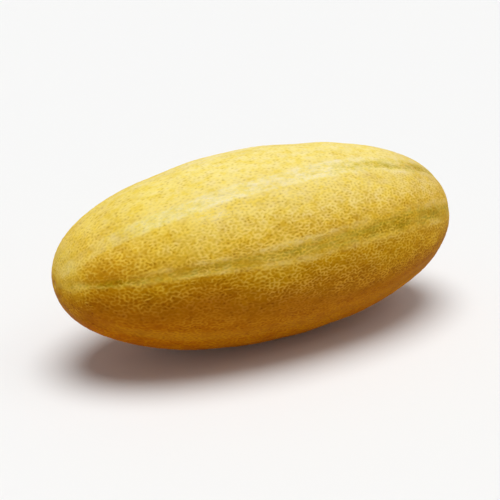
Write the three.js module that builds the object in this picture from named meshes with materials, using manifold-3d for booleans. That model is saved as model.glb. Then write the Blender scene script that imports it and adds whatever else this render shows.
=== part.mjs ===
// A whole netted melon lying on its side: one closed solid, in millimetres.
// +X runs along the fruit to its stem end, +Z is up. The origin is the centre
// of the bounding box at the bottom, in the small flat spot the fruit rests on.

import * as THREE from 'three';
import { mergeVertices } from 'three/addons/utils/BufferGeometryUtils.js';
import Module from 'manifold-3d';

// ---- driving dimensions (mm, degrees) ----
const HALF_LENGTH = 151.1;    // axis centre to each end, without the end scars
const RADIUS = 67.4;          // at mid-length, on the crown of a lobe
const FULLNESS = [0.0015, 0.0253, 0.0534, 0.0949]; // swelling over an ellipse, by s, s^2, s^3, s^4
const END_RISE = 1.5;         // how far the axis bends up towards both ends
const FLAT_DEPTH = 1.3;       // how much the ground spot flattens the underside
// Eight sutures: angle about the axis (0 is +Y, 90 is +Z), its drift and its bow along the fruit.
const SUTURES = [
  [29, -2, 0],
  [74, -4, 1],
  [119.5, -7.5, 2],
  [163.2, -3.5, -3.5],
  [213, -2, 0],
  [254, 0, 0],
  [300, 1, 0],
  [345, 0, 0],
];
const SUTURE_HALF_WIDTH = 6.6;  // along the skin
const SUTURE_DEPTH = 0.6;       // at mid-length
const SUTURE_DEPTH_STEM = 1.0;  // extra, close to the stem end
const SUTURE_DEPTH_BLOSSOM = 0.25; // extra, close to the blossom end
const LOBE_CROWN = 0.45;        // how far each lobe bulges between its sutures
const BLOSSOM_SCAR = { radius: 8.0, rise: 0.9, pit: 0.6, pitRadius: 3.5 }; // low round button at -X
const STEM_SCAR = { radius: 6.5, rise: 1.3, dimple: 2.4, dimpleRadius: 17 }; // corky disc in a shallow basin at +X

const AROUND = 72;              // nine stations from each suture to the next
const SKIN_COLOUR = 0xd8ad48;

// ---- shape functions ----
const rad = THREE.MathUtils.degToRad;
const smooth = (a, b, x) => THREE.MathUtils.smoothstep(x, a, b);

// Radius of the plain fruit at s, from -1 at the blossom end to 1 at the stem end.
function plainRadius(s) {
  const swell = FULLNESS.reduce((sum, k, i) => sum + k * s ** (i + 1), 1);
  return RADIUS * Math.sqrt(Math.max(0, 1 - s * s)) * swell;
}

const sutureAngle = ([angle, drift, bow], s) => angle + drift * s + bow * s * s;

// Sutures are shallow at mid-length, deepen towards the ends and run out before the scars.
function sutureDepth(s, r) {
  const deep = SUTURE_DEPTH
    + SUTURE_DEPTH_STEM * smooth(0.55, 0.93, s)
    + SUTURE_DEPTH_BLOSSOM * smooth(0.6, 0.95, -s);
  return deep * smooth(6, 24, r);
}

const sutureHalfAngle = (r) => Math.min(11, THREE.MathUtils.radToDeg(SUTURE_HALF_WIDTH / Math.max(r, 1)));

// Station j around the fruit: which lobe it is in, its angle, and how deep it lies in a suture (0 to 1).
function station(j, s, r) {
  const per = AROUND / SUTURES.length;
  const lobe = Math.floor(j / per);
  const k = j % per;
  const from = sutureAngle(SUTURES[lobe], s);
  let to = sutureAngle(SUTURES[(lobe + 1) % SUTURES.length], s);
  if (to < from) to += 360;
  const half = sutureHalfAngle(r);
  if (k <= 2) return { angle: from + half * k / 2, inSuture: 1 - k / 2, across: half * k / 2 / (to - from) };
  if (k >= per - 2) {
    const back = per - k;
    return { angle: to - half * back / 2, inSuture: 1 - back / 2, across: 1 - half * back / 2 / (to - from) };
  }
  const f = (k - 2) / (per - 4);
  const angle = from + half + f * (to - from - 2 * half);
  return { angle, inSuture: 0, across: (angle - from) / (to - from) };
}

// How far each end is pushed along the axis, at radius r from it.
function blossomPush(r) {
  const { radius, rise, pit, pitRadius } = BLOSSOM_SCAR;
  return -rise * (1 - smooth(radius * 0.8, radius * 1.15, r)) + pit * (1 - smooth(0.5, pitRadius, r));
}
function stemPush(r) {
  const { radius, rise, dimple, dimpleRadius } = STEM_SCAR;
  return -dimple * (1 - smooth(radius * 0.6, dimpleRadius, r)) + rise * (1 - smooth(radius * 0.75, radius * 1.1, r));
}

// ---- rings along the fruit: close together at the scars, even between ----
const ringAt = (r, side) => {
  let t = Math.asin(Math.min(1, r / RADIUS));
  for (let i = 0; i < 20; i++) t = Math.asin(Math.min(1, r / (plainRadius(side * Math.cos(t)) / Math.sin(t))));
  return t;
};
const blossomRings = [1.8, 3.6, 6.4, 7.9, 9.4].map((r) => ringAt(r, -1));
const stemRings = [2.2, 4.6, 6.4, 8.2].map((r) => ringAt(r, 1));
const innerStart = blossomRings.at(-1);
const innerEnd = Math.PI - stemRings.at(-1);
const EVEN = 26;
const along = [0, ...blossomRings];
for (let i = 1; i < EVEN; i++) along.push(innerStart + (innerEnd - innerStart) * i / EVEN);
along.push(...stemRings.reverse().map((t) => Math.PI - t), Math.PI);

// ---- the solid: a lathe of the plain profile, then sutures, lobes and scars moved into it ----
const profile = along.map((t, i) => {
  const s = -Math.cos(t);
  const onAxis = i === 0 || i === along.length - 1;
  return new THREE.Vector2(onAxis ? 0 : plainRadius(s), HALF_LENGTH * s);
});
const lathe = new THREE.LatheGeometry(profile, AROUND);
const position = lathe.getAttribute('position');
for (let n = 0; n < position.count; n++) {
  const ring = n % profile.length;
  const j = Math.floor(n / profile.length) % AROUND;
  const s = -Math.cos(along[ring]);
  const r = profile[ring].x;
  const push = s < 0 ? blossomPush(r) : stemPush(r);
  const x = HALF_LENGTH * s + push;
  if (r === 0) {
    position.setXYZ(n, x, 0, END_RISE * s * s);
    continue;
  }
  const at = station(j, s, r);
  const crown = LOBE_CROWN * (Math.sin(Math.PI * at.across) ** 2 - 1) * smooth(4, 30, r);
  const rr = r + crown - sutureDepth(s, r) * at.inSuture ** 1.4;
  position.setXYZ(n, x, rr * Math.cos(rad(at.angle)), rr * Math.sin(rad(at.angle)) + END_RISE * s * s);
}

// ---- the flat spot on the underside ----
const wasm = await Module();
wasm.setup();

function solidOf(geometry) {
  geometry.deleteAttribute('normal');
  geometry.deleteAttribute('uv');
  const merged = mergeVertices(geometry, 1e-4);
  const index = merged.getIndex().array;
  const triangles = [];
  for (let i = 0; i < index.length; i += 3) {
    const [a, b, c] = [index[i], index[i + 1], index[i + 2]];
    if (a !== b && b !== c && c !== a) triangles.push(a, b, c); // at the poles a lathe's quads are triangles
  }
  return new wasm.Manifold(new wasm.Mesh({
    numProp: 3,
    vertProperties: new Float32Array(merged.getAttribute('position').array),
    triVerts: new Uint32Array(triangles),
  }));
}

lathe.computeBoundingBox();
const ground = lathe.boundingBox.min.z + FLAT_DEPTH;
const slab = new THREE.BoxGeometry(400, 200, 60);
slab.translate(0, 0, ground - 30);
const fruit = solidOf(lathe).subtract(solidOf(slab));
const mesh = fruit.getMesh();

const geometry = new THREE.BufferGeometry();
geometry.setAttribute('position', new THREE.BufferAttribute(new Float32Array(mesh.vertProperties), 3));
geometry.setIndex(new THREE.BufferAttribute(new Uint32Array(mesh.triVerts), 1));
geometry.computeBoundingBox();
const box = geometry.boundingBox;
geometry.translate(-(box.min.x + box.max.x) / 2, -(box.min.y + box.max.y) / 2, -box.min.z);
geometry.computeVertexNormals();

const melon = new THREE.Mesh(
  geometry,
  new THREE.MeshStandardMaterial({ color: SKIN_COLOUR, roughness: 0.6, metalness: 0 }),
);
melon.name = 'melon';

const part = new THREE.Group();
part.add(melon);

export default part;
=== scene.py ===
import math
import random

import bpy
import numpy as np
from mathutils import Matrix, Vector
from mathutils.geometry import delaunay_2d_cdt
from mathutils.kdtree import KDTree


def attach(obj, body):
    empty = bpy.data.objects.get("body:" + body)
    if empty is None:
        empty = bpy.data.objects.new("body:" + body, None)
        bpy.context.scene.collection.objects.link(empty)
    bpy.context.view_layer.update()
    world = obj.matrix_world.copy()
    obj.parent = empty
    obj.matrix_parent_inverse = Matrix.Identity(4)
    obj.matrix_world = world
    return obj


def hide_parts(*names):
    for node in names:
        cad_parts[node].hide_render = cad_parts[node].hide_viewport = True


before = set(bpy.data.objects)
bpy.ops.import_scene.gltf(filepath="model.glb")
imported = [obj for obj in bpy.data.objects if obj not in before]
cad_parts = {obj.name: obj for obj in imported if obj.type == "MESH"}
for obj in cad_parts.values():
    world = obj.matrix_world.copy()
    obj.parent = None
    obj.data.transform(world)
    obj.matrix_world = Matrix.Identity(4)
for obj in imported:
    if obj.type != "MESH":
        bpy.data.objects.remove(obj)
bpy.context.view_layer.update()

MM = 0.001
rng = np.random.default_rng(851)
random.seed(851)

# ---------------------------------------------------------------------------
# The fruit's form: the same driving dimensions as the CAD solid (mm, degrees)
# ---------------------------------------------------------------------------
HALF_LENGTH = 151.1
RADIUS = 67.4
FULLNESS = (0.0015, 0.0253, 0.0534, 0.0949)
END_RISE = 1.5
CENTRE = np.array((0.905, -0.021, 65.942))  # the fruit's middle in the row frame
SUTURES = (
    (29.0, -2.0, 0.0),
    (74.0, -4.0, 1.0),
    (118.9, -7.5, 2.0),
    (162.3, -2.9, -2.6),
    (213.0, -2.0, 0.0),
    (254.0, 0.0, 0.0),
    (300.0, 1.0, 0.0),
    (345.0, 0.0, 0.0),
)
LOBE_CROWN = 0.45
BLOSSOM_R, BLOSSOM_RISE, BLOSSOM_PIT, BLOSSOM_PIT_R = 8.0, 0.35, 0.6, 3.5
STEM_R, STEM_RISE, STEM_DIMPLE, STEM_DIMPLE_R = 6.5, 1.3, 2.4, 17.0


def smooth(a, b, x):
    k = np.clip((x - a) / (b - a), 0.0, 1.0)
    return k * k * (3 - 2 * k)


def plain_radius(s, sech):
    swell = 1 + sum(k * s ** (i + 1) for i, k in enumerate(FULLNESS))
    return RADIUS * sech * swell


# Where the edges of each suture's band lie, in mm from its middle line, along the fruit
EDGE_AT = (-0.90, -0.70, -0.47, -0.22, 0.00, 0.27, 0.50, 0.68, 0.82, 0.92)
BELOW = {  # towards larger angles
    2: (4.0, 4.6, 5.6, 4.9, 6.4, 6.2, 5.6, 7.2, 8.2, 7.5),
    3: (2.4, 2.9, 3.8, 5.6, 7.2, 5.8, 6.8, 7.0, 6.0, 5.2),
}
ABOVE = {
    2: (4.5, 5.4, 4.8, 6.2, 5.6, 8.0, 7.8, 8.2, 6.8, 6.0),
    3: (3.4, 3.6, 4.6, 5.0, 6.5, 7.3, 10.0, 7.4, 8.4, 7.8),
}
OTHERS = (4.2, 5.0, 5.4, 5.6, 5.9, 6.3, 6.8, 7.2, 7.0, 6.2)


def across_band(near, away, s, r):
    """How far across its suture's band a place is: 0 on the middle line, 1 on the edge."""
    below = np.interp(s, EDGE_AT, OTHERS)
    above = below
    for k in BELOW:
        below = np.where(near == k, np.interp(s, EDGE_AT, BELOW[k]), below)
        above = np.where(near == k, np.interp(s, EDGE_AT, ABOVE[k]), above)
    edge = np.minimum(np.where(away > 0, below, above), 0.17 * r + 0.3)
    return np.abs(away) / np.maximum(edge, 0.1)


def suture_place(s, angle, r):
    """Nearest suture's index, signed distance from its middle in mm, and place across the lobe, 0 to 1."""
    mids = np.stack([a + b * s + c * s * s for a, b, c in SUTURES])
    mids[2] -= 3.4 * smooth(0.70, 0.84, s)
    mids[3] += 4.5 * smooth(0.66, 0.90, s) + 1.5 * smooth(0.50, 0.72, -s)
    gap = (np.degrees(angle)[None] - mids + 180) % 360 - 180
    near = np.abs(gap).argmin(0)
    cols = np.arange(gap.shape[1])
    away = gap[near, cols]
    ahead = np.where(gap >= 0, gap, 999).min(0)
    behind = np.where(gap < 0, -gap, 999).min(0)
    return near, np.radians(away) * r, ahead / (ahead + behind)


# Broad dents and swellings: x and its spread (mm), angle and its spread (degrees), height (mm)
SWELLS = (
    (-72, 18, 62, 24, -1.2),
    (36, 9, 72, 22, -0.6),
    (58, 8, 76, 18, 0.35),
    (117, 14, 88, 26, -0.8),
    (-72, 14, 243, 22, 0.7),
    (38, 12, 236, 22, -0.5),
    (-130, 14, 40, 40, -0.6),
)


def lumps(x, angle, r):
    c, s = np.cos(angle), np.sin(angle)
    wave = (
        0.20 * np.sin(0.043 * x + 1.9 * c + 0.6)
        + 0.16 * np.sin(0.071 * x - 2.3 * s + 2.1)
        + 0.13 * np.sin(0.030 * x + 3 * angle + 0.9)
        + 0.09 * np.sin(0.125 * x + 2 * angle + 4.0)
        + 0.07 * np.sin(0.160 * x - 5 * angle + 1.1)
    )
    for x0, dx, a0, da, h in SWELLS:
        gap = (np.degrees(angle) - a0 + 180) % 360 - 180
        wave = wave + h * np.exp(-(((x - x0) / dx) ** 2) / 2 - (gap / da) ** 2 / 2)
    return wave * smooth(3, 35, r)


# One coordinate along the fruit (v), and the conformal one (u) of the fruit pressed
# lengthwise by STRETCH, so that round cells there are long cells on the fruit.
STRETCH = 1.45
_v = np.linspace(-9.5, 9.5, 7601)
_s, _sech = np.tanh(_v), 1 / np.cosh(_v)
_r = plain_radius(_s, _sech)
_dx = HALF_LENGTH * _sech**2
_dr = np.gradient(_r, _v)
_rate = np.sqrt((_dx / STRETCH) ** 2 + _dr**2) / _r
_u = np.concatenate(([0.0], np.cumsum((_rate[1:] + _rate[:-1]) / 2 * np.diff(_v))))
_u -= np.interp(0.0, _v, _u)
_len = np.concatenate(
    ([0.0], np.cumsum(np.hypot(_dx, _dr)[1:] * np.diff(_v)))
)  # real length of skin from the blossom end


def v_of_u(u):
    v = np.interp(u, _u, _v)
    v = np.where(u > _u[-1], _v[-1] + (u - _u[-1]), v)
    return np.where(u < _u[0], _v[0] + (u - _u[0]), v)


def u_of_v(v):
    return np.interp(v, _v, _u)


def way(u, angle):
    """Unit direction that stands for a place on the fruit."""
    sech = 1 / np.cosh(u)
    return np.stack([np.tanh(u), sech * np.cos(angle), sech * np.sin(angle)], -1)


def place(d):
    """v and angle about the axis of unit directions."""
    rho = np.maximum(np.hypot(d[:, 1], d[:, 2]), 1e-9)
    return v_of_u(np.arcsinh(d[:, 0] / rho)), np.arctan2(d[:, 2], d[:, 1])


def skin(d, parts=False):
    """The smooth skin under the net, in mm in the row frame, for unit directions."""
    v, angle = place(d)
    s, sech = np.tanh(v), 1 / np.cosh(v)
    r = plain_radius(s, sech)
    near, away, across = suture_place(s, angle, r)
    depth = 0.22 * smooth(6, 24, r)
    dip = 1 - smooth(0.10, 1.20, across_band(near, away, s, r))
    crown = LOBE_CROWN * (np.sin(math.pi * across) ** 2 - 1) * smooth(4, 30, r)
    crown = crown * (1 - 0.6 * smooth(0.60, 0.90, s))
    rr = r + crown - depth * dip + lumps(HALF_LENGTH * s, angle, r)
    blossom = -BLOSSOM_RISE * (
        1 - smooth(0.8 * BLOSSOM_R, 1.15 * BLOSSOM_R, r)
    ) + BLOSSOM_PIT * (1 - smooth(0.5, BLOSSOM_PIT_R, r))
    stem = -STEM_DIMPLE * (
        1 - smooth(0.6 * STEM_R, STEM_DIMPLE_R, r)
    ) + STEM_RISE * (1 - smooth(0.75 * STEM_R, 1.1 * STEM_R, r))
    ray = 0.6 * np.sin(3 * angle + 0.8) + 0.5 * np.sin(5 * angle - 1.1) + 0.4 * np.sin(8 * angle + 2.6)
    stem = stem + 0.42 * np.exp(-(((r - 5.2 - 0.25 * ray) / 0.9) ** 2) / 2)
    stem = stem - 0.30 * np.exp(-(((r - 3.7 + 0.20 * ray) / 0.7) ** 2) / 2)
    stem = stem - 0.95 * (1 - smooth(0.5, 2.6 + 0.2 * ray, r)) + 0.10 * ray * (1 - smooth(4.0, 8.0, r)) * smooth(0.5, 2.0, r)
    blossom = blossom + 0.5 * (1 - smooth(8, 30, r))
    x = HALF_LENGTH * s + np.where(s < 0, blossom, stem)
    p = np.stack(
        [x, rr * np.cos(angle), rr * np.sin(angle) + END_RISE * s * s], -1
    ) + CENTRE
    if parts:
        return p, v, angle, s, r, near, away
    return p


def skin_normals(d):
    a = np.where(np.abs(d[:, :1]) < 0.8, np.array([[1.0, 0, 0]]), np.array([[0, 0, 1.0]]))
    e1 = np.cross(d, a)
    e1 /= np.linalg.norm(e1, axis=1, keepdims=True)
    e2 = np.cross(d, e1)
    rho = np.maximum(np.hypot(d[:, 1], d[:, 2]), 1e-3)[:, None]
    eps = 0.006 * rho

    def at(q):
        return skin(q / np.linalg.norm(q, axis=1, keepdims=True))

    n = np.cross(at(d + eps * e1) - at(d - eps * e1), at(d + eps * e2) - at(d - eps * e2))
    n /= np.maximum(np.linalg.norm(n, axis=1, keepdims=True), 1e-12)
    out = skin(d) - CENTRE
    n *= np.sign((n * out).sum(1))[:, None]
    return n


# ---------------------------------------------------------------------------
# Seeds of the net's cells
# ---------------------------------------------------------------------------
SPACING = 2.6  # of the main net's cells, pressed
SUB_SPACING = 1.76  # of the small cells that the main ones are made of
# How much the net is calmed inside each suture's band (0 to 1)
CALM = (0.60, 0.2, 0.56, 0.51, 0.15, 0.15, 0.52, 0.58)

WAVES = rng.normal(size=(24, 3))
WAVES /= np.linalg.norm(WAVES, axis=1, keepdims=True)
WAVE_LEN = np.geomspace(11.0, 48.0, 24)
WAVE_AT = rng.random(24) * 2 * math.pi


def patches(p, first=0, last=24):
    """A smooth uneven field over the fruit, mostly between -1 and 1."""
    k = 2 * math.pi * WAVES[first:last] / WAVE_LEN[first:last, None]
    wave = np.sin((p * (0.55, 1.0, 1.0)) @ k.T + WAVE_AT[first:last])
    return wave.sum(1) / math.sqrt((last - first) / 2) * 0.7


def pressed(v, angle):
    s, sech = np.tanh(v), 1 / np.cosh(v)
    r = plain_radius(s, sech)
    return np.stack([HALF_LENGTH * s / STRETCH, r * np.cos(angle), r * np.sin(angle)], -1), r, s


class Grid:
    """Points with a spacing each, held so that near ones are found fast."""

    def __init__(self, size):
        self.size, self.cells = size, {}

    def free(self, p, h, least=1.0):
        i, j, k = (int(math.floor(c / self.size)) for c in p)
        for a in (i - 1, i, i + 1):
            for b in (j - 1, j, j + 1):
                for c in (k - 1, k, k + 1):
                    for q in self.cells.get((a, b, c), ()):
                        gap = (q[0] - p[0]) ** 2 + (q[1] - p[1]) ** 2 + (q[2] - p[2]) ** 2
                        if gap < (least * 0.5 * (h + q[3])) ** 2:
                            return False
        return True

    def add(self, p, h):
        key = tuple(int(math.floor(c / self.size)) for c in p)
        self.cells.setdefault(key, []).append((p[0], p[1], p[2], h))


def wanted_spacing(v, angle, r, s):
    base = 0.80 + 0.20 * smooth(10, 42, r)
    patch = 0.14 * np.sin(0.052 * HALF_LENGTH * s + 2.2 * np.cos(angle) + 0.4) * np.sin(
        0.034 * HALF_LENGTH * s - 1.7 * np.sin(angle) + 1.3
    )
    base = base * (1 + 0.8 * patch) * (1.06 - 0.16 * smooth(-0.5, 0.7, s))
    scar = np.where(s < 0, 1 - smooth(7.5, 11.5, r), 1 - smooth(7.0, 11.0, r))
    return base * (1 - 0.45 * scar)


def scatter(count, spacing, spread, grid, out_v, out_a, out_p):
    """Seeds thrown at random, none nearer to another than the spacing wanted there."""
    weight = _r * np.hypot(_dx / STRETCH, _dr)
    cdf = np.cumsum(weight)
    cdf /= cdf[-1]
    v = np.interp(rng.random(count), cdf, _v)
    extra = count // 14
    ends = rng.random(extra)
    small = 13.0 * np.sqrt(rng.random(extra))
    half = len(_r) // 2
    order = np.argsort(_r[:half])
    low_v = np.interp(small, _r[:half][order], _v[:half][order])
    order = np.argsort(_r[half:])
    high_v = np.interp(small, _r[half:][order], _v[half:][order])
    v = np.concatenate((v, np.where(ends < 0.5, low_v, high_v)))
    v = v[rng.permutation(len(v))]
    a = rng.random(len(v)) * 2 * math.pi
    p, r, s = pressed(v, a)
    h = spacing * wanted_spacing(v, a, r, s) * (1 - spread / 2 + spread * rng.random(len(v)))
    for pi, hi, vi, ai, ri in zip(p.tolist(), h.tolist(), v.tolist(), a.tolist(), r.tolist()):
        if ri > 0.5 and grid.free(pi, hi):
            grid.add(pi, hi)
            out_v.append(vi)
            out_a.append(ai)
            out_p.append(pi)


# ---- the main cells ----
grid = Grid(4.8)
main_v, main_a, main_p = [], [], []

# inside the calmer bands the cells are long and narrow, in rows along the fruit
ROWS = 4
for k, (a0, b0, c0) in enumerate(SUTURES):
    for row in range(ROWS) if CALM[k] > 0.5 else ():
        x = 5.0 + 5.0 * rng.random()
        while x < _len[-1] - 5.0:
            v = float(np.interp(x, _len, _v))
            s, sech = math.tanh(v), 1 / math.cosh(v)
            r = float(plain_radius(s, sech))
            if r > 16.0:
                across = ((row + 0.5) / ROWS * 2 - 1) * 0.95 * min(5.9, 0.17 * r)
                across += 0.5 * math.sin(0.085 * x + 1.7 * k) + 0.9 * (rng.random() - 0.5)
                ang = math.radians(a0 + b0 * s + c0 * s * s) + across / r
                p, _, _ = pressed(np.array([v]), np.array([ang]))
                if grid.free(p[0], 2.0, 0.9):
                    grid.add(p[0], 2.4)
                    main_v.append(v)
                    main_a.append(ang)
                    main_p.append(p[0].tolist())
            x += (5.0 + 5.5 * rng.random()) * (0.7 + 0.3 * min(1.0, r / 45.0))
scatter(130000, SPACING, 0.60, grid, main_v, main_a, main_p)

# ---- the small cells, each a part of its nearest main one ----
seed_v, seed_a, seed_p = [], [], []
scatter(300000, SUB_SPACING, 0.50, Grid(2.8), seed_v, seed_a, seed_p)
tree = KDTree(len(main_p))
for i, p in enumerate(main_p):
    tree.insert(p, i)
tree.balance()
parent = np.array([tree.find(p)[1] for p in seed_p] + [-1, -2])
print("MAIN CELLS", len(main_p), "SMALL CELLS", len(seed_p))

seed_u = u_of_v(np.array(seed_v))
seed_a = np.array(seed_a)
n_near = len(seed_u)
# one seed at each end: the blossom end lies at the map's middle, the stem end far outside it
BLOSSOM, STEM = n_near, n_near + 1


def triangles(u, a):
    rho = np.exp(u)
    flat = [Vector((x, y)) for x, y in zip(rho * np.cos(a), rho * np.sin(a))] + [Vector((0.0, 0.0))]
    verts, edges, faces, vo, _, _ = delaunay_2d_cdt(flat, [], [], 0, 1e-12, True)
    name = [o[0] for o in vo]
    tris = [[name[i] for i in f] for f in faces]
    used = {}
    for f in tris:
        for i in range(3):
            used[f[i], f[(i + 1) % 3]] = True
    rim = [(p, q) for p, q in used if (q, p) not in used]
    tris += [[q, p, STEM] for p, q in rim]
    return np.array(tris)


def seed_ways(u, a):
    d = way(u, a)
    return np.concatenate((d, [[-1.0, 0, 0], [1.0, 0, 0]]))


def unit(q):
    return q / np.maximum(np.linalg.norm(q, axis=-1, keepdims=True), 1e-15)


def tri_ways(dirs, tris, share):
    """Between each triangle's mid-point (share 0) and the point equally far from its corners (share 1)."""
    a, b, c = dirs[tris[:, 0]], dirs[tris[:, 1]], dirs[tris[:, 2]]
    mid = unit(a + b + c)
    even = unit(np.cross(b - a, c - a))
    even *= np.sign((even * mid).sum(1))[:, None]
    return unit(mid * (1 - share) + even * share)


tris = triangles(seed_u, seed_a)
for turn in range(1):  # a little evening-out
    dirs = seed_ways(seed_u, seed_a)
    mids = tri_ways(dirs, tris, 1.0)
    total = np.zeros_like(dirs)
    for c in range(3):
        np.add.at(total, tris[:, c], mids)
    moved = unit(dirs + 0.40 * (unit(total) - dirs))[:n_near]
    rho = np.hypot(moved[:, 1], moved[:, 2])
    seed_u, seed_a = np.arcsinh(moved[:, 0] / rho), np.arctan2(moved[:, 2], moved[:, 1])
    tris = triangles(seed_u, seed_a)

dirs = seed_ways(seed_u, seed_a)
n_cells = len(dirs)
crest = tri_ways(dirs, tris, 0.80)

# ---------------------------------------------------------------------------
# Edges of the net, how strong each one is, and which are bent in the middle
# ---------------------------------------------------------------------------
left_of = {}
for t, (a, b, c) in enumerate(tris):
    left_of[a, b] = left_of[b, c] = left_of[c, a] = t
pairs = [(a, b) for a, b in left_of if a < b]
edge_id = {}
for i, (a, b) in enumerate(pairs):
    edge_id[a, b] = edge_id[b, a] = i
ea = np.array([p[0] for p in pairs])
eb = np.array([p[1] for p in pairs])
et1 = np.array([left_of[p] for p in pairs])
et2 = np.array([left_of[p[1], p[0]] for p in pairs])
n_edges = len(pairs)

crest_p, crest_v, crest_a, crest_s, crest_r, crest_near, crest_away = skin(crest, True)
mid_dir = unit(crest[et1] + crest[et2])
mid_p, mv, ma, ms, mr, mid_near, mid_away = skin(mid_dir, True)
run = crest_p[et2] - crest_p[et1]
length = np.linalg.norm(run, axis=1)
along = np.abs(run[:, 0]) / np.maximum(length, 1e-6)
band = across_band(mid_near, mid_away, ms, mr)

field = patches(mid_p)
calm = np.array(CALM)[mid_near] * (1 - smooth(0.50, 1.10, band + 0.10 * field)) * smooth(12, 26, mr)
calm = calm * (1 - 0.8 * smooth(0.50, 0.72, -ms)) * np.where(mid_near == 3, 0.72, 0.9)
beside = np.array(CALM)[mid_near] * np.clip(1 - np.abs(band - 0.98) / 0.2, 0, 1)

# a stretch of the net between two main cells keeps one strength, more or less
same = parent[ea] == parent[eb]
low_p, high_p = np.minimum(parent[ea], parent[eb]), np.maximum(parent[ea], parent[eb])
stretches, of_stretch = np.unique(np.stack([low_p, high_p], 1), axis=0, return_inverse=True)
of_stretch = of_stretch.ravel()
n_st = len(stretches)
st_along = np.bincount(of_stretch, along, n_st) / np.bincount(of_stretch, minlength=n_st)
st_random = rng.random(n_st)
st_faded = rng.random(n_st) < 0.12 - 0.10 * st_along
st_strength = np.where(st_faded, 0.16 + 0.28 * st_random, 0.52 + 0.22 * st_along + 0.40 * (st_random - 0.5))
main = st_strength[of_stretch] + 0.13 * field + 0.50 * (rng.random(n_edges) - 0.5)
minor = 0.08 + 0.60 * rng.random(n_edges) ** 1.6
strength = np.where(same, minor, np.maximum(main, 0.04))
quiet = np.where(same | (rng.random(n_edges) < 0.35), 0.05, (0.06 + 0.38 * along) * (0.5 + rng.random(n_edges)))
strength = strength * (1 - calm) + np.minimum(quiet, strength) * calm
strength = strength * (1 - 0.20 * smooth(0.50, 0.78, -ms))
strength = strength + 0.22 * beside * smooth(0.6, 0.95, along) * np.where(same, 0.0, 1.0)
scar_zone = np.where(ms < 0, 1 - smooth(8.0, 11.0, mr), 1 - smooth(7.5, 10.5, mr))
strength = np.clip(strength * (1 - scar_zone), 0.0, 1.0)

top = np.zeros((len(tris), 3))
fill = np.zeros(len(tris), int)
for e in range(n_edges):
    for t in (et1[e], et2[e]):
        top[t, fill[t]] = strength[e]
        fill[t] += 1
top.sort(axis=1)
crest_strength = np.clip((0.6 * top[:, 2] + 0.4 * top[:, 1]) * (1.0 + 0.25 * (rng.random(len(tris)) - 0.3)), 0, 1)

MOST = 198500
cost_plain = 2 * n_edges  # one triangle on each side of an edge
room = (MOST - cost_plain) // 2
need = (
    2.5 * np.abs(0.5 * (crest_strength[et1] + crest_strength[et2]) - strength)
    + length / 4.0
    + 0.5 * strength
)
split = np.zeros(n_edges, bool)
split[np.argsort(-need)[: max(0, int(room))]] = True
split &= length > 0.55
print("CELLS", n_cells, "EDGES", n_edges, "SPLIT", int(split.sum()), "LENGTH", length.mean())

# a split edge bends a little in its middle
side = np.cross(mid_dir, unit(crest[et2] - crest[et1]))
span = np.linalg.norm(crest[et2] - crest[et1], axis=1)
bend = (rng.random(n_edges) - 0.5) * 0.26
mid_dir = unit(mid_dir + side * (bend * span)[:, None])

# ---------------------------------------------------------------------------
# The mesh: a crest line along each edge of the net, its foot, and the skin between
# ---------------------------------------------------------------------------
HEIGHT = 0.36  # mm, of the strongest line

n_crest = len(tris)
mid_index = np.full(n_edges, -1)
mid_index[split] = n_crest + np.arange(int(split.sum()))
ways_ = [crest, mid_dir[split]]
net_ = [crest_strength, strength[split]]
wide_crest = np.zeros(n_crest)
first_cell = n_crest + int(split.sum())

cells = [[] for _ in range(n_cells)]
start = {}
for a, b in left_of:
    start.setdefault(a, b)
third = {}
for a, b, c in tris:
    third[a, b], third[b, c], third[c, a] = c, a, b
for cell in range(n_cells):
    b = b0 = start[cell]
    loop = cells[cell]
    while True:
        t = left_of[cell, b]
        c = third[cell, b]
        loop.append(t)
        e = edge_id[cell, c]
        if mid_index[e] >= 0:
            loop.append(int(mid_index[e]))
        b = c
        if b == b0:
            break

boundary = np.concatenate([np.array(c) for c in cells])
sizes = np.array([len(c) for c in cells])
cell_of = np.repeat(np.arange(n_cells), sizes)
starts = np.concatenate(([0], np.cumsum(sizes)[:-1]))
nxt = np.arange(1, len(boundary) + 1)
nxt[starts + sizes - 1] = starts
prev = np.empty_like(nxt)
prev[nxt] = np.arange(len(nxt))

line_dir = np.concatenate(ways_)
line_net = np.concatenate(net_)
line_p = skin(line_dir)
centre_dir = np.zeros((n_cells, 3))
np.add.at(centre_dir, cell_of, line_dir[boundary])
centre_dir = unit(centre_dir)
centre_p = skin(centre_dir)

first_centre = len(line_dir)
all_dir = np.concatenate((line_dir, centre_dir))
cell_net = np.bincount(cell_of, line_net[boundary], n_cells) / sizes
most_net = np.zeros(n_cells)
np.maximum.at(most_net, cell_of, line_net[boundary])
bottom = 0.80 * cell_net * (1 - smooth(0.12, 0.45, most_net))  # where no line is, there is no pit
net = np.concatenate((line_net, bottom))
lift = np.concatenate((HEIGHT * line_net**0.85, HEIGHT * bottom))
all_v, all_angle = place(all_dir)
all_r = plain_radius(np.tanh(all_v), 1 / np.cosh(all_v))
lift = lift + 0.22 * rng.random(len(lift)) * (all_v > 0) * (1 - smooth(5.0, 7.0, all_r))
cell_tone = 0.66 + 0.09 * rng.normal(size=n_cells) + 0.11 * rng.normal(size=len(main_p) + 2)[parent]
cell_tone = np.clip(cell_tone - 0.75 * rng.random(n_cells) ** 6, 0, 1)
centre_place = skin(centre_dir, True)
cell_calm = np.array(CALM)[centre_place[5]] * (
    1 - smooth(0.8, 1.1, across_band(centre_place[5], centre_place[6], centre_place[3], centre_place[4]))
)
cell_tone = np.where(cell_calm > 0.3, np.maximum(cell_tone, 0.5), cell_tone)
tone = np.concatenate((np.full(len(line_dir), 0.66), cell_tone))

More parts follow.
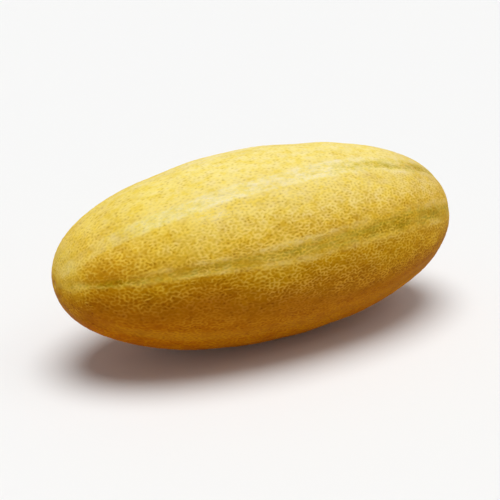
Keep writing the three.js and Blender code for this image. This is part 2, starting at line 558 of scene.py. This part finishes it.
pos, v_, angle_, s_, r_, near_, away_ = skin(all_dir, True)
normal = skin_normals(all_dir)
pos = pos + normal * lift[:, None]
flat = np.maximum(pos[:, 2], 0.0)
pos[:, 2] = flat
up = normal[:, 2]

# ---- the sutures' bands: pale ones, olive ones, and the pale rails beside them ----
# for each suture, along the fruit from the blossom end: pale, olive and rail strength
ALONG = (-0.97, -0.90, -0.80, -0.65, -0.45, -0.20, 0.05, 0.25, 0.42, 0.56, 0.70, 0.82, 0.91, 0.97)
LOOK = (
    (  # 0, behind
        (0.0, 0.1, 0.1, 0.1, 0.1, 0.1, 0.1, 0.1, 0.1, 0.1, 0.1, 0.1, 0.1, 0.0),
        (0.1, 0.3, 0.5, 0.7, 0.8, 0.8, 0.8, 0.8, 0.8, 0.8, 0.8, 0.8, 0.6, 0.2),
        (0.0, 0.0, 0.2, 0.4, 0.5, 0.5, 0.5, 0.6, 0.6, 0.7, 0.7, 0.8, 0.6, 0.1),
    ),
    (  # 1, on top
        (0.0, 0.1, 0.2, 0.3, 0.4, 0.4, 0.4, 0.4, 0.4, 0.4, 0.3, 0.2, 0.1, 0.0),
        (0.0, 0.0, 0.0, 0.0, 0.0, 0.0, 0.0, 0.0, 0.0, 0.1, 0.3, 0.3, 0.2, 0.0),
        (0.0, 0.0, 0.0, 0.0, 0.0, 0.0, 0.0, 0.1, 0.1, 0.2, 0.4, 0.4, 0.2, 0.0),
    ),
    (  # 2, the pale one
        (0.0, 0.1, 0.5, 1.0, 1.0, 1.0, 1.0, 0.8, 0.3, 0.0, 0.0, 0.0, 0.0, 0.0),
        (0.0, 0.0, 0.0, 0.0, 0.0, 0.0, 0.0, 0.4, 0.8, 1.2, 1.4, 1.5, 1.3, 0.5),
        (0.0, 0.0, 0.1, 0.2, 0.3, 0.2, 0.2, 0.3, 0.4, 0.5, 0.5, 0.3, 0.2, 0.1),
    ),
    (  # 3, the olive one
        (0.1, 0.1, 0.0, 0.0, 0.0, 0.0, 0.0, 0.0, 0.0, 0.0, 0.0, 0.0, 0.0, 0.0),
        (0.0, 0.15, 0.7, 0.95, 0.9, 0.9, 0.9, 1.3, 1.5, 1.35, 1.4, 1.4, 1.2, 0.4),
        (0.0, 0.1, 0.1, 0.3, 0.8, 1.0, 0.9, 0.7, 0.3, 0.2, 0.6, 0.8, 0.6, 0.2),
    ),
    (  # 4, low in front, hardly there
        (0.0, 0.1, 0.3, 0.4, 0.3, 0.2, 0.2, 0.2, 0.2, 0.2, 0.1, 0.0, 0.0, 0.0),
        (0.0, 0.0, 0.1, 0.1, 0.0, 0.0, 0.0, 0.1, 0.2, 0.3, 0.5, 0.6, 0.5, 0.2),
        (0.0, 0.0, 0.0, 0.0, 0.0, 0.0, 0.0, 0.0, 0.1, 0.3, 0.5, 0.5, 0.4, 0.1),
    ),
    (  # 5, underneath
        (0.0, 0.1, 0.2, 0.2, 0.2, 0.2, 0.2, 0.2, 0.2, 0.2, 0.1, 0.0, 0.0, 0.0),
        (0.0, 0.0, 0.1, 0.1, 0.1, 0.1, 0.1, 0.1, 0.2, 0.3, 0.4, 0.5, 0.4, 0.1),
        (0.0, 0.0, 0.0, 0.0, 0.0, 0.0, 0.0, 0.0, 0.1, 0.2, 0.4, 0.4, 0.3, 0.1),
    ),
    (  # 6, low behind
        (0.1, 0.1, 0.2, 0.2, 0.2, 0.2, 0.2, 0.2, 0.1, 0.1, 0.0, 0.0, 0.0, 0.0),
        (0.0, 0.1, 0.3, 0.5, 0.6, 0.6, 0.6, 0.6, 0.7, 0.7, 0.8, 0.9, 0.7, 0.3),
        (0.0, 0.0, 0.1, 0.2, 0.3, 0.3, 0.3, 0.4, 0.5, 0.6, 0.7, 0.8, 0.6, 0.1),
    ),
    (  # 7, behind, pale
        (0.1, 0.2, 0.4, 0.6, 0.8, 0.8, 0.8, 0.7, 0.5, 0.3, 0.1, 0.0, 0.0, 0.0),
        (0.0, 0.0, 0.0, 0.0, 0.1, 0.1, 0.1, 0.3, 0.5, 0.7, 0.9, 0.9, 0.6, 0.2),
        (0.0, 0.0, 0.1, 0.2, 0.3, 0.3, 0.3, 0.5, 0.7, 0.8, 0.8, 0.8, 0.5, 0.1),
    ),
)
look = np.array(LOOK)


def along_look(which):
    out = np.zeros(len(s_))
    for k in range(len(SUTURES)):
        out = np.where(near_ == k, np.interp(s_, ALONG, look[k, which]), out)
    return out


pale_k, olive_k, rail_k = along_look(0), along_look(1), along_look(2)
ragged_cell = 0.10 * rng.normal(size=n_cells)
ragged = np.concatenate((np.zeros(len(line_dir)), ragged_cell))
w_ = across_band(near_, away_, s_, r_)
w_soft = w_ + (ragged + 0.09 * patches(pos, 0, 12)) * np.where(near_ == 2, 0.6, 1.0)
uneven = patches(pos, 4, 18)
inner = np.where(near_ == 2, 1 - smooth(0.86, 1.12, w_soft), 1 - smooth(0.80, 1.18, w_soft))
core = 1 - smooth(0.40, 0.98, w_soft)
pale = inner * np.clip(pale_k * (0.92 + 0.30 * uneven), 0, 1)
olive = core * np.clip(olive_k * (0.92 + 0.30 * uneven), 0, 1.5)
rail = (1 - smooth(0.05, 0.50, np.abs(w_ + 0.5 * ragged - 0.95))) * np.clip(
    rail_k * (0.80 + 0.45 * uneven), 0, 1
)
warm = np.zeros(len(s_))
green = inner * np.isin(near_, (2, 7)) * np.interp(
    s_, (-0.97, -0.88, -0.65, -0.45, -0.20, 0.05, 0.25, 0.42), (0.0, 0.3, 0.9, 0.7, 0.25, 0.2, 0.2, 0.0)
)


def spot(value, k, x0, dx, off0, doff, amount):
    """Adds a soft patch at x0, off0 mm from the middle of suture k."""
    a0, b0, c0 = SUTURES[k]
    gap = (np.degrees(angle_) - (a0 + b0 * s_ + c0 * s_ * s_) + 180) % 360 - 180
    off = np.radians(gap) * r_
    return value + amount * np.exp(
        -(((HALF_LENGTH * s_ - x0) / dx) ** 2) / 2 - ((off - off0) / doff) ** 2 / 2
    )


# the pale suture's olive end, in a narrow deeper line
olive = spot(olive, 2, 101, 9.0, 1.0, 2.6, 0.4)
olive = spot(olive, 2, 78, 9.0, -0.6, 2.0, 0.1)
# breaks in the olive suture, and the dots that it ends in
olive = spot(olive, 3, 91, 3.0, -1.5, 6.0, -1.1)
olive = spot(olive, 3, 89.5, 1.8, -7.6, 1.5, 1.3)
olive = spot(olive, 3, 91, 1.6, -3.0, 1.4, 1.5)
olive = spot(olive, 3, -129, 2.6, 1.6, 1.7, 1.0)
olive = spot(olive, 3, -121, 2.4, 1.6, 1.9, 0.9)
olive = spot(olive, 3, -140, 4.5, 1.0, 1.3, 0.7)
olive = spot(olive, 3, -112, 2.5, 2.4, 1.2, 0.5)
olive = spot(olive, 3, -86, 9.0, 1.0, 1.6, 0.6)
pale = spot(pale, 3, -144, 3.0, 4.4, 0.7, 0.25)
pale = spot(pale, 3, -108, 5.0, 3.8, 0.9, 0.3)
pale = spot(pale, 3, -96, 5.0, -3.4, 1.1, 0.6)
# a pale patch at the blossom end and another below the pale suture
pale = spot(pale, 2, -145, 3.0, 0.5, 2.2, 0.35)
pale = spot(pale, 2, -61, 7.0, 9.5, 3.2, 1.0)
pale = spot(pale, 2, -50, 5.0, 13.5, 2.2, 0.6)
# ripe orange places
warm = spot(warm, 2, 112, 3.6, -1.5, 2.4, 1.2)
warm = spot(warm, 2, 101, 3.0, -0.5, 1.8, 0.9)
warm = spot(warm, 3, 112, 14.0, 17.0, 6.0, 0.5)
warm = spot(warm, 2, -118, 16.0, 17.0, 8.0, 0.45)
warm = spot(warm, 7, 96, 3.0, 1.0, 2.0, 0.7)
warm = spot(warm, 0, -96, 12.0, -16.0, 7.0, 0.5)
warm = spot(warm, 5, 40, 18.0, 12.0, 8.0, 0.4)
# deeper yellow towards the blossom end and here and there
gold_and_underside_shade = 0.85 * smooth(0.15, 0.80, -s_)
for k, x0, dx, off0, doff, amount in (
    (2, -88, 28, 11.5, 4.0, 0.6),
    (3, 104, 26, 26, 12, 1.0),
    (3, -60, 45, 12, 7, 0.8),
    (3, 60, 40, 44, 12, 0.6),
    (6, 90, 30, 5, 14, 0.8),
    (0, -20, 45, 10, 12, 0.6),
    (5, -60, 40, -5, 14, 0.6),
):
    gold_and_underside_shade = spot(gold_and_underside_shade, k, x0, dx, off0, doff, amount)
# painted shade: darker on the upward faces towards the stem end
stem_top_painted_shade = smooth(0.50, 0.80, s_) * smooth(0.0, 0.55, up)
# painted shade: deeper orange on the downward faces towards the stem end
gold_and_underside_shade = gold_and_underside_shade + 0.9 * smooth(0.25, 0.75, s_) * (1 - smooth(-0.15, 0.12, up))
band_3 = inner * (near_ == 3)
warm = warm + (0.32 * smooth(0.76, 0.93, -s_) + 0.20 * np.exp(-(((s_ + 0.82) / 0.07) ** 2) / 2)) * (1 - 0.85 * band_3) * (0.4 + 0.6 * smooth(-0.45, -0.05, up))
gold_and_underside_shade = gold_and_underside_shade * (1 - 0.9 * band_3 * smooth(0.0, 0.26, -s_) * (1 - 0.45 * smooth(0.55, 0.70, -s_))) + 0.75 * band_3 * smooth(0.05, 0.35, s_)
gold_and_underside_shade, stem_top_painted_shade = np.clip(gold_and_underside_shade, 0, 1), np.clip(stem_top_painted_shade, 0, 1)


def bell(x, middle, wide):
    return np.exp(-(((x - middle) / wide) ** 2) / 2)


# how pale the rind is, by how far up it faces: partly the ripe underside's deeper colour, partly painted shade
# darker towards the bottom and painted light on top, with patches of painted light and shade on its flanks
ripeness_and_painted_shade = (
    up
    + 0.17 * smooth(0.15, 0.75, s_) * bell(up, -0.02, 0.20)
    - 0.17 * bell(s_, -0.50, 0.19) * bell(up, 0.02, 0.19)
    + 0.34 * smooth(0.88, 0.965, -s_) * (1 - smooth(0.40, 0.90, up))
    - 0.06 * bell(s_, -0.82, 0.06) * (1 - smooth(0.70, 0.92, up))
    + 0.13 * bell(s_, -0.67, 0.09) * bell(up, 0.10, 0.24)
    + 0.13 * bell(s_, -0.22, 0.11) * bell(up, 0.10, 0.12)
    + 0.12 * bell(s_, 0.36, 0.24) * bell(up, -0.18, 0.14)
    + 0.08 * smooth(0.60, 0.80, s_) * bell(up, -0.28, 0.13)
    + 0.07 * smooth(0.58, 0.72, s_) * bell(up, 0.08, 0.13)
    - 0.12 * bell(s_, -0.50, 0.13) * bell(up, -0.12, 0.12)
    + 0.10 * bell(s_, -0.45, 0.09) * bell(up, 0.36, 0.09)
    - 0.09 * bell(s_, -0.05, 0.08) * bell(up, -0.22, 0.09)
    - 0.10 * bell(s_, -0.55, 0.14) * bell(up, -0.42, 0.12)
    - 0.06 * bell(s_, 0.55, 0.08) * bell(up, 0.35, 0.22)
    - spot(np.zeros(len(s_)), 2, -86, 26, 11.0, 4.2, 0.09)
)
pale, olive, warm = np.clip(pale, 0, 1), np.clip(olive, 0, 1.5), np.clip(warm, 0, 1)
ray = 0.6 * np.sin(3 * angle_ + 0.8) + 0.5 * np.sin(5 * angle_ - 1.1) + 0.4 * np.sin(8 * angle_ + 2.6)
hollow = (
    0.9 * np.exp(-(((r_ - 3.7 + 0.20 * ray) / 0.6) ** 2) / 2)
    + 1.0 * (1 - smooth(0.4, 2.0 + 0.2 * ray, r_))
    + 0.9 * np.exp(-(((r_ - 6.7 - 0.25 * ray) / 0.5) ** 2) / 2)
)
hollow = np.clip(hollow * np.where(s_ > 0, 0.7 + 0.6 * rng.random(len(r_)), 0.0), 0, 1)
scar = np.where(s_ < 0, 0.55 * (1 - smooth(1.0, 3.2, r_)), 1 - smooth(5.8, 8.2, r_))

faces = np.stack([boundary, boundary[nxt], first_centre + cell_of], 1)
a, b, c = pos[faces[:, 0]], pos[faces[:, 1]], pos[faces[:, 2]]
if (np.cross(b - a, c - a) * (a - CENTRE)).sum() < 0:
    faces = faces[:, ::-1]

mesh = bpy.data.meshes.new("melon_rind")
mesh.vertices.add(len(pos))
mesh.vertices.foreach_set("co", (pos * MM).astype(np.float32).ravel())
mesh.loops.add(len(faces) * 3)
mesh.loops.foreach_set("vertex_index", faces.astype(np.int32).ravel())
mesh.polygons.add(len(faces))
mesh.polygons.foreach_set("loop_start", (np.arange(len(faces)) * 3).astype(np.int32))
mesh.update(calc_edges=True)
mesh.validate(verbose=False)
mesh.polygons.foreach_set("use_smooth", np.ones(len(mesh.polygons), bool))
print("FACES", len(mesh.polygons), "VERTS", len(mesh.vertices))

for name, values in (
    ("net", net),
    ("pale", pale),
    ("olive", olive),
    ("rail", rail),
    ("warm", warm),
    ("green", green),
    ("gold_and_underside_shade", gold_and_underside_shade),
    ("stem_top_painted_shade", stem_top_painted_shade),
    ("ripeness_and_painted_shade", ripeness_and_painted_shade),
    ("tone", tone),
    ("scar", scar),
    ("hollow", hollow),
):
    att = mesh.attributes.new(name, "FLOAT", "POINT")
    att.data.foreach_set("value", values.astype(np.float32))

# Four long gores, each cut along the edges of its cells
length_at = np.interp(v_, _v, _len)
GORES = 4
cell_v, cell_a = place(centre_dir)
cell_gore = np.floor((cell_a % (2 * math.pi)) / (2 * math.pi) * GORES).astype(int) % GORES
gore = cell_gore[cell_of][:, None]
mid_angle = (gore + 0.5) * 2 * math.pi / GORES
corner_a = (angle_[faces] - mid_angle + math.pi) % (2 * math.pi) - math.pi
across_mm = np.clip(corner_a, -1.6, 1.6) * r_[faces]
total_len = _len[-1]
WIDE = 2 * math.pi * RADIUS / GORES + 9.0
uv_u = 0.004 + 0.992 * length_at[faces] / total_len
uv_v = (gore + 0.5) / GORES + across_mm / (WIDE * GORES)
layer = mesh.uv_layers.new(name="OFBake")
layer.uv.foreach_set("vector", np.stack([uv_u, uv_v], -1).astype(np.float32).ravel())

rind = bpy.data.objects.new("melon_rind", mesh)
bpy.context.scene.collection.objects.link(rind)
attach(rind, "root")
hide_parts("melon")


# ---------------------------------------------------------------------------
# Materials
# ---------------------------------------------------------------------------
def srgb(r, g, b):
    out = []
    for c in (r, g, b):
        c = c / 255
        out.append(c / 12.92 if c <= 0.04045 else ((c + 0.055) / 1.055) ** 2.4)
    return (*out, 1.0)


class Tree:
    def __init__(self, name):
        self.mat = bpy.data.materials.new(name)
        self.mat.use_nodes = True
        self.nt = self.mat.node_tree
        self.p = self.nt.nodes["Principled BSDF"]
        self.coord = self.nt.nodes.new("ShaderNodeTexCoord").outputs["Object"]

    def link(self, value, socket):
        if isinstance(value, bpy.types.NodeSocket):
            self.nt.links.new(value, socket)
        else:
            socket.default_value = value

    def att(self, name):
        n = self.nt.nodes.new("ShaderNodeAttribute")
        n.attribute_name = name
        return n.outputs["Fac"]

    def noise(self, scale, detail=3.0, rough=0.55, stretch=(1, 1, 1), distort=0.0):
        m = self.nt.nodes.new("ShaderNodeMapping")
        m.inputs["Scale"].default_value = stretch
        self.nt.links.new(self.coord, m.inputs["Vector"])
        n = self.nt.nodes.new("ShaderNodeTexNoise")
        n.inputs["Scale"].default_value = scale
        n.inputs["Detail"].default_value = detail
        n.inputs["Roughness"].default_value = rough
        n.inputs["Distortion"].default_value = distort
        self.nt.links.new(m.outputs["Vector"], n.inputs["Vector"])
        return n.outputs["Fac"]

    def math(self, op, a, b=0.0, clamp=False):
        n = self.nt.nodes.new("ShaderNodeMath")
        n.operation = op
        n.use_clamp = clamp
        self.link(a, n.inputs[0])
        self.link(b, n.inputs[1])
        return n.outputs[0]

    def span(self, value, a, b, c=0.0, d=1.0, kind="SMOOTHSTEP"):
        n = self.nt.nodes.new("ShaderNodeMapRange")
        n.interpolation_type = kind
        self.link(value, n.inputs["Value"])
        n.inputs["From Min"].default_value = a
        n.inputs["From Max"].default_value = b
        n.inputs["To Min"].default_value = c
        n.inputs["To Max"].default_value = d
        return n.outputs["Result"]

    def ramp(self, value, stops):
        n = self.nt.nodes.new("ShaderNodeValToRGB")
        r = n.color_ramp
        r.interpolation = "LINEAR"
        while len(r.elements) < len(stops):
            r.elements.new(0.5)
        for e, (at, colour) in zip(r.elements, stops):
            e.position = at
            e.color = colour
        self.link(value, n.inputs["Fac"])
        return n.outputs["Color"]

    def mix(self, fac, a, b, mode="MIX"):
        n = self.nt.nodes.new("ShaderNodeMix")
        n.data_type = "RGBA"
        n.blend_type = mode
        self.link(fac, n.inputs["Factor"])
        self.link(a, n.inputs[6])
        self.link(b, n.inputs[7])
        return n.outputs[2]


m = Tree("melon_rind")
net_a, pale_a, olive_a, rail_a, warm_a, green_a, gold_and_underside_shade_a, stem_top_painted_shade_a, ripe_and_shade_a, tone_a, scar_a = (
    m.att(n) for n in ("net", "pale", "olive", "rail", "warm", "green", "gold_and_underside_shade", "stem_top_painted_shade", "ripeness_and_painted_shade", "tone", "scar")
)
# from 0 on the underside to 1 on top; the colours below follow it both as ripe colour and as painted shade below and
# painted light on top
painted_light_height = m.span(ripe_and_shade_a, -1, 1, 0, 1, "LINEAR")


def at_up(*stops):
    return [((u + 1) / 2, (r, g, b, 1.0)) for u, r, g, b in stops]


fine = m.noise(900, 4, 0.6)
grain = m.noise(320, 4, 0.6, (0.7, 1, 1))
streak = m.noise(420, 3, 0.6, (0.12, 1, 1))
blotch = m.noise(75, 3, 0.55, (0.7, 1, 1))
broad = m.noise(24, 2, 0.5)

# the rind from its orange underside to its pale yellow top: partly its ripe colour, partly painted shade below and
# painted light on top, and the net's lines follow the same painted shading
SHADED_LINE_COLOURS = (
    (-1.00, 0.704, 0.359, 0.0001),
    (-0.30, 0.452, 0.170, 0.0133),
    (0.00, 0.673, 0.358, 0.0396),
    (0.18, 0.741, 0.462, 0.0572),
    (0.45, 0.904, 0.636, 0.1187),
    (0.62, 0.921, 0.719, 0.2124),
    (0.80, 0.915, 0.724, 0.1944),
    (1.00, 0.929, 0.774, 0.2714),
)
SKIN_SHARE = (
    (0.687, 0.340, 0.030),
    (0.851, 0.805, 0.030),
    (0.633, 0.482, 0.030),
    (0.738, 0.597, 0.060),
    (0.782, 0.710, 0.339),
    (0.863, 0.797, 0.455),
    (0.886, 0.882, 1.000),
    (0.980, 1.000, 1.000),
)
skin_colour_with_shade = m.ramp(
    painted_light_height,
    at_up(*((u, r * x, g * y, b * z) for (u, r, g, b), (x, y, z) in zip(SHADED_LINE_COLOURS, SKIN_SHARE))),
)
line_colour_with_shade = m.ramp(painted_light_height, at_up(*SHADED_LINE_COLOURS))
spots = m.noise(135, 2, 0.5, (0.75, 1, 1))
mottle = m.math("ADD", m.math("MULTIPLY", blotch, 0.55), m.math("MULTIPLY", broad, 0.45))
colour = m.mix(m.span(mottle, 0.58, 0.36), skin_colour_with_shade, (0.96, 0.91, 0.76, 1.0), "MULTIPLY")
colour = m.mix(m.span(mottle, 0.48, 0.66, 0.0, 0.4), colour, (1.05, 1.08, 1.25, 1.0), "MULTIPLY")
colour = m.mix(m.math("MULTIPLY", m.span(spots, 0.60, 0.34), m.span(painted_light_height, 0.82, 0.95, 1.0, 0.55)), colour, (0.93, 0.90, 0.79, 1.0), "MULTIPLY")
drift = m.noise(150, 3, 0.62, (0.42, 1, 1))
above = m.span(painted_light_height, 0.22, 0.44, 0.35, 1.0)
low_down = m.math("MULTIPLY", m.span(painted_light_height, 0.92, 0.62), above)
colour = m.mix(m.math("MULTIPLY", m.span(drift, 0.54, 0.34), low_down), colour, (0.90, 0.855, 0.72, 1.0), "MULTIPLY")
colour = m.mix(m.math("MULTIPLY", m.span(drift, 0.48, 0.70), low_down), colour, (1.07, 1.09, 1.18, 1.0), "MULTIPLY")
toned = m.span(tone_a, 0.30, 0.85, 0.0, 1.0)
colour = m.mix(toned, m.mix(1.0, colour, (0.90, 0.85, 0.70, 1.0), "MULTIPLY"), colour)

# bands
colour = m.mix(m.math("MULTIPLY", warm_a, 0.8), colour, (0.97, 0.78, 0.45, 1.0), "MULTIPLY")
pale_at = m.math("MULTIPLY", pale_a, m.span(streak, 0.32, 0.60, 0.66, 0.94))
colour = m.mix(pale_at, colour, m.mix(1.0, line_colour_with_shade, (0.98, 1.07, 2.00, 1.0), "MULTIPLY"))
olive_at = m.math("MULTIPLY", olive_a, m.span(streak, 0.34, 0.62, 1.0, 0.35))
low_olive = m.mix(1.0, skin_colour_with_shade, (0.98, 1.22, 2.80, 1.0), "MULTIPLY")
top_olive = m.mix(1.0, skin_colour_with_shade, (0.88, 0.91, 0.72, 1.0), "MULTIPLY")
colour = m.mix(olive_at, colour, m.mix(m.span(painted_light_height, 0.68, 0.88), low_olive, top_olive))
colour = m.mix(m.span(olive_a, 0.80, 1.45, 0.0, 1.0, "LINEAR"), colour, (0.76, 0.68, 0.34, 1.0), "MULTIPLY")
streaked = m.math("MULTIPLY", m.span(streak, 0.56, 0.36), m.math("ADD", olive_a, m.math("MULTIPLY", pale_a, 0.5)))
colour = m.mix(m.math("MULTIPLY", streaked, 0.55), colour, (0.80, 0.82, 0.72, 1.0), "MULTIPLY")

fleck = m.noise(560, 3, 0.6, (0.42, 1, 1))
in_band = m.math("ADD", m.math("MULTIPLY", olive_a, 0.9), m.math("MULTIPLY", pale_a, 0.4), True)
colour = m.mix(m.math("MULTIPLY", m.span(fleck, 0.52, 0.36), in_band), colour, (0.84, 0.82, 0.62, 1.0), "MULTIPLY")
colour = m.mix(m.math("MULTIPLY", m.span(fleck, 0.50, 0.66), in_band), colour, (1.11, 1.11, 1.25, 1.0), "MULTIPLY")

# the net: pale lines and dark pits, with painted light on the lines and painted shade in the hollows between them,
# both changing with how far up the skin faces
uneven_net = m.math("MULTIPLY", net_a, m.span(spots, 0.30, 0.70, 0.72, 1.20, "LINEAR"))
ragged_net = m.math("ADD", uneven_net, m.math("MULTIPLY", m.math("SUBTRACT", fine, 0.5), 0.20))
low_line = m.span(ragged_net, 0.16, 0.95)
top_line = m.span(ragged_net, 0.02, 0.80, 0.0, 1.0, "LINEAR")
fade_line = m.span(painted_light_height, 0.60, 0.90)
line = m.math("ADD", low_line, m.math("MULTIPLY", fade_line, m.math("SUBTRACT", top_line, low_line)))
line = m.math("MULTIPLY", line, m.span(painted_light_height, 0.08, 0.34, 0.60, 1.0))
# dark pits: some cells dark at random, plus painted shade in the hollows between the lines, lighter towards the top
pit = m.math("MULTIPLY", m.span(tone_a, 0.75, 0.05, 0.15, 1.0), m.span(ragged_net, 0.34, 0.06))
colour = m.mix(m.math("MULTIPLY", pit, m.span(painted_light_height, 0.84, 0.97, 0.90, 0.55)), colour, (0.71, 0.65, 0.46, 1.0), "MULTIPLY")
line_mix = m.math("MULTIPLY", line, m.span(painted_light_height, 0.80, 0.98, 0.85, 0.70))
colour = m.mix(line_mix, colour, line_colour_with_shade)
rail_at = m.math("MULTIPLY", rail_a, m.span(fleck, 0.36, 0.60, 0.34, 0.92))
colour = m.mix(rail_at, colour, m.mix(1.0, line_colour_with_shade, (0.95, 1.04, 1.75, 1.0), "MULTIPLY"))

# the rind's deeper yellow, with painted shade on the downward faces towards the stem
colour = m.mix(gold_and_underside_shade_a, colour, (0.985, 0.955, 0.66, 1.0), "MULTIPLY")
# painted shade on the upward faces towards the stem end
colour = m.mix(stem_top_painted_shade_a, colour, (0.89, 0.85, 0.86, 1.0), "MULTIPLY")
colour = m.mix(green_a, colour, (0.975, 1.01, 1.13, 1.0), "MULTIPLY")
hue = m.noise(210, 3, 0.6, (0.7, 1, 1))
colour = m.mix(m.math("MULTIPLY", m.span(hue, 0.52, 0.34), above), colour, (0.975, 0.93, 0.60, 1.0), "MULTIPLY")
colour = m.mix(m.math("MULTIPLY", m.span(hue, 0.50, 0.68), above), colour, (0.99, 1.0, 1.28, 1.0), "MULTIPLY")

scar_colour = m.ramp(
    m.noise(420, 5, 0.65),
    [(0.34, srgb(128, 86, 30)), (0.52, srgb(176, 130, 58)), (0.66, srgb(212, 172, 100))],
)
scar_colour = m.mix(m.att("hollow"), scar_colour, (0.52, 0.42, 0.30, 1.0), "MULTIPLY")
corky = m.math("ADD", scar_a, m.math("MULTIPLY", m.math("SUBTRACT", grain, 0.5), 0.8))
colour = m.mix(m.span(corky, 0.35, 0.8), colour, scar_colour)
m.link(colour, m.p.inputs["Base Color"])
rough = m.math("ADD", m.span(line, 0, 1, 0.56, 0.72, "LINEAR"), m.math("MULTIPLY", m.math("SUBTRACT", grain, 0.5), 0.16))
m.link(rough, m.p.inputs["Roughness"])
m.p.inputs["Specular IOR Level"].default_value = 0.03
m.p.inputs["Specular Tint"].default_value = (1.0, 0.82, 0.30, 1.0)
bump = m.nt.nodes.new("ShaderNodeBump")
bump.inputs["Strength"].default_value = 0.35
bump.inputs["Distance"].default_value = 0.0002
m.link(m.math("ADD", m.math("MULTIPLY", fine, 0.6), m.math("MULTIPLY", grain, 0.5)), bump.inputs["Height"])
m.nt.links.new(bump.outputs["Normal"], m.p.inputs["Normal"])
mesh.materials.append(m.mat)

# ---------------------------------------------------------------------------
# Floor, light and camera
# ---------------------------------------------------------------------------
scene = bpy.context.scene
scene.view_settings.view_transform = "Standard"
scene.view_settings.look = "None"

bpy.ops.mesh.primitive_plane_add(size=30.0, location=(0, 0, -0.00008))
floor = bpy.context.object
floor.name = "floor"
f = bpy.data.materials.new("floor")
f.use_nodes = True
fp = f.node_tree.nodes["Principled BSDF"]
fp.inputs["Base Color"].default_value = (0.85, 0.85, 0.846, 1)
fp.inputs["Roughness"].default_value = 0.9
fp.inputs["Specular IOR Level"].default_value = 0.1
floor.data.materials.append(f)

world = bpy.data.worlds.new("studio")
scene.world = world
world.use_nodes = True
# dim overhead and as pale as the floor at the horizon
sky = world.node_tree.nodes
direction = sky.new("ShaderNodeTexCoord").outputs["Generated"]
apart = sky.new("ShaderNodeSeparateXYZ")
rise = sky.new("ShaderNodeMapRange")
rise.interpolation_type = "SMOOTHSTEP"
for socket, value in (("From Min", 0.10), ("From Max", 0.30), ("To Min", 0.93), ("To Max", 0.20)):
    rise.inputs[socket].default_value = value
world.node_tree.links.new(direction, apart.inputs[0])
world.node_tree.links.new(apart.outputs["Z"], rise.inputs["Value"])
sky["Background"].inputs["Color"].default_value = (1.0, 1.0, 1.0, 1)
world.node_tree.links.new(rise.outputs["Result"], sky["Background"].inputs["Strength"])


def distant(name, towards, spread, strength):
    """A large soft light, far off in one direction, as wide as spread degrees."""
    light = bpy.data.lights.new(name, "SUN")
    light.angle = math.radians(spread)
    light.energy = strength
    o = bpy.data.objects.new(name, light)
    o.location = Vector(towards).normalized() * 2.0
    o.rotation_euler = Vector(towards).to_track_quat("Z", "Y").to_euler()
    scene.collection.objects.link(o)
    return o


distant("overhead", (0.0, 0.0, 1.0), 40.0, 2.50)
distant("front", (0.433, -0.25, 0.866), 40.0, 0.326)

middle = Vector(CENTRE * MM)
AZ, EL, DISTANCE = math.radians(-28.0), math.radians(23.158), 0.8264
back = Vector((math.sin(AZ) * math.cos(EL), -math.cos(AZ) * math.cos(EL), math.sin(EL)))
cam_data = bpy.data.cameras.new("camera")
cam_data.lens = 85.0
cam_data.sensor_width = 36.0
cam_data.clip_start = 0.01
cam_data.clip_end = 100.0
cam_data.shift_x = -0.0222
cam_data.shift_y = -0.0131
cam = bpy.data.objects.new("camera", cam_data)
cam.location = middle + back * DISTANCE
cam.rotation_euler = (-back).to_track_quat("-Z", "Y").to_euler()
scene.collection.objects.link(cam)
scene.camera = cam
